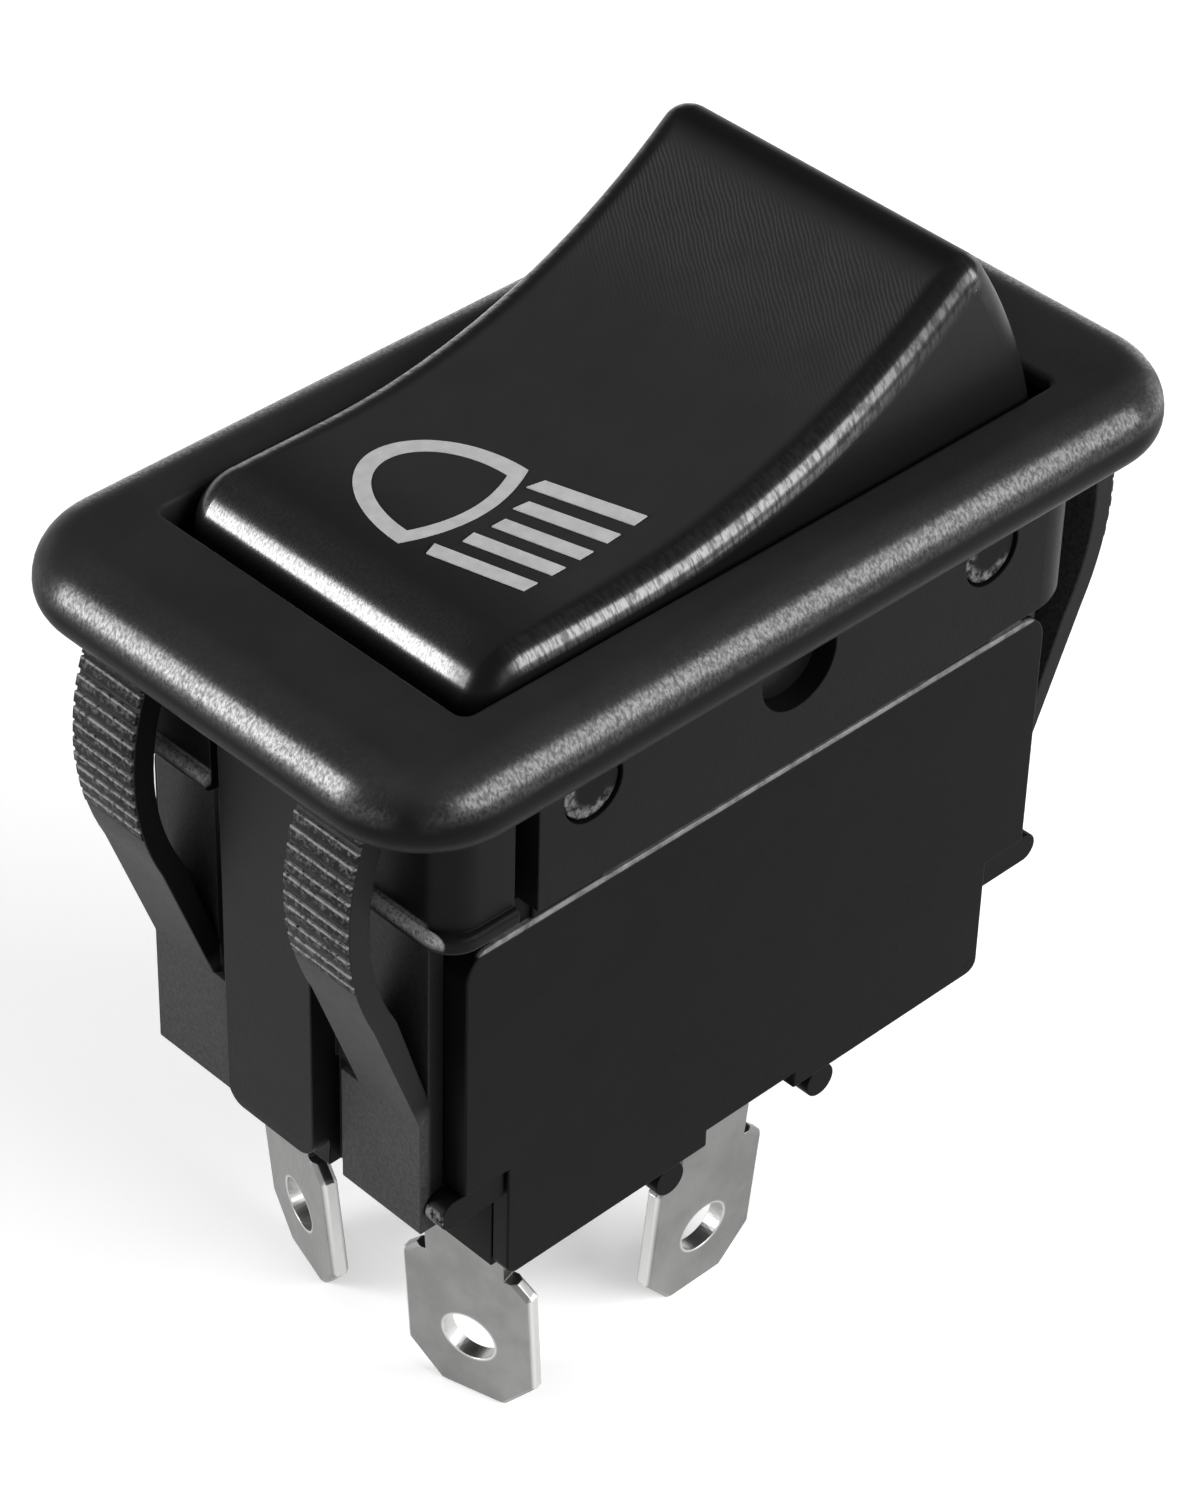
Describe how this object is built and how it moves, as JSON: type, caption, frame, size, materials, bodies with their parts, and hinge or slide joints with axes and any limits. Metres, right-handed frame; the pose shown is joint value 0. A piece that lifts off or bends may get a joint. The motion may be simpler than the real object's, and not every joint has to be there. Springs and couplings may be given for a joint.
{
  "type": "panel rocker switch",
  "caption": "Double-pole on-off rocker switch that snaps into a rectangular panel cut-out, black, with a lamp symbol on the low end and push-on blade terminals.",
  "frame": {"origin": "centre of the bezel's underside, where it meets the panel's front face", "axes": "+X along the bezel's long side towards the raised end of the rocker, +Y along its short side, +Z out of the panel towards the user"},
  "size_m": [0.0436, 0.0246, 0.0483],
  "materials": {
    "bezel_black": "satin black, finely grained",
    "rocker_black": "satin black, finely grained top",
    "case_black": "satin black",
    "white_nylon": "natural nylon",
    "spring_wire": "drawn spring wire",
    "contact_strip": "rolled copper alloy strip",
    "contact_silver": "silver alloy, lightly matt",
    "tinned_brass": "tin-plated brass"
  },
  "bodies": {
    "housing": {"bezel_frame": "bezel_black", "switch_case": "case_black", "terminal_base": "case_black", "end_clip_near": "case_black", "end_clip_far": "case_black", "fixed_contact_front": "contact_silver", "load_terminal_front": "tinned_brass", "common_terminal_front": "tinned_brass", "fixed_contact_rear": "contact_silver", "load_terminal_rear": "tinned_brass", "common_terminal_rear": "tinned_brass"},
    "rocker": {"rocker_button": "rocker_black"},
    "plunger_front": {"plunger_front": "white_nylon", "plunger_spring_front": "spring_wire"},
    "seesaw_front": {"seesaw_contact_front": "contact_strip", "moving_contact_front": "contact_silver"},
    "plunger_rear": {"plunger_rear": "white_nylon", "plunger_spring_rear": "spring_wire"},
    "seesaw_rear": {"seesaw_contact_rear": "contact_strip", "moving_contact_rear": "contact_silver"}
  },
  "joints": [
    {"name": "rocker_swing", "type": "hinge", "parent": "housing", "child": "rocker", "pos_m": [0, 0, -0.00168], "axis": [0, 1, 0], "range_deg": [0, 22.5]},
    {"name": "seesaw_tilt_front", "type": "hinge", "parent": "housing", "child": "seesaw_front", "pos_m": [0, -0.0044, -0.00852], "axis": [0, 1, 0], "range_deg": [-14, 0]},
    {"name": "plunger_slide_front", "type": "slide", "parent": "rocker", "child": "plunger_front", "axis": [-0.2334, 0, 0.9724], "range_m": [0, 0.0008], "stiffness_N_per_m": 300, "springref_m": -0.0006, "deforming": ["plunger_spring_front"]},
    {"name": "seesaw_tilt_rear", "type": "hinge", "parent": "housing", "child": "seesaw_rear", "pos_m": [0, 0.0044, -0.00852], "axis": [0, 1, 0], "range_deg": [-14, 0]},
    {"name": "plunger_slide_rear", "type": "slide", "parent": "rocker", "child": "plunger_rear", "axis": [-0.2334, 0, 0.9724], "range_m": [0, 0.0008], "stiffness_N_per_m": 300, "springref_m": -0.0006, "deforming": ["plunger_spring_rear"]}
  ],
  "couplings": [
    {"joint": "seesaw_tilt_front", "follows": "rocker_swing", "ratio": -0.62219},
    {"joint": "seesaw_tilt_rear", "follows": "rocker_swing", "ratio": -0.62219}
  ]
}
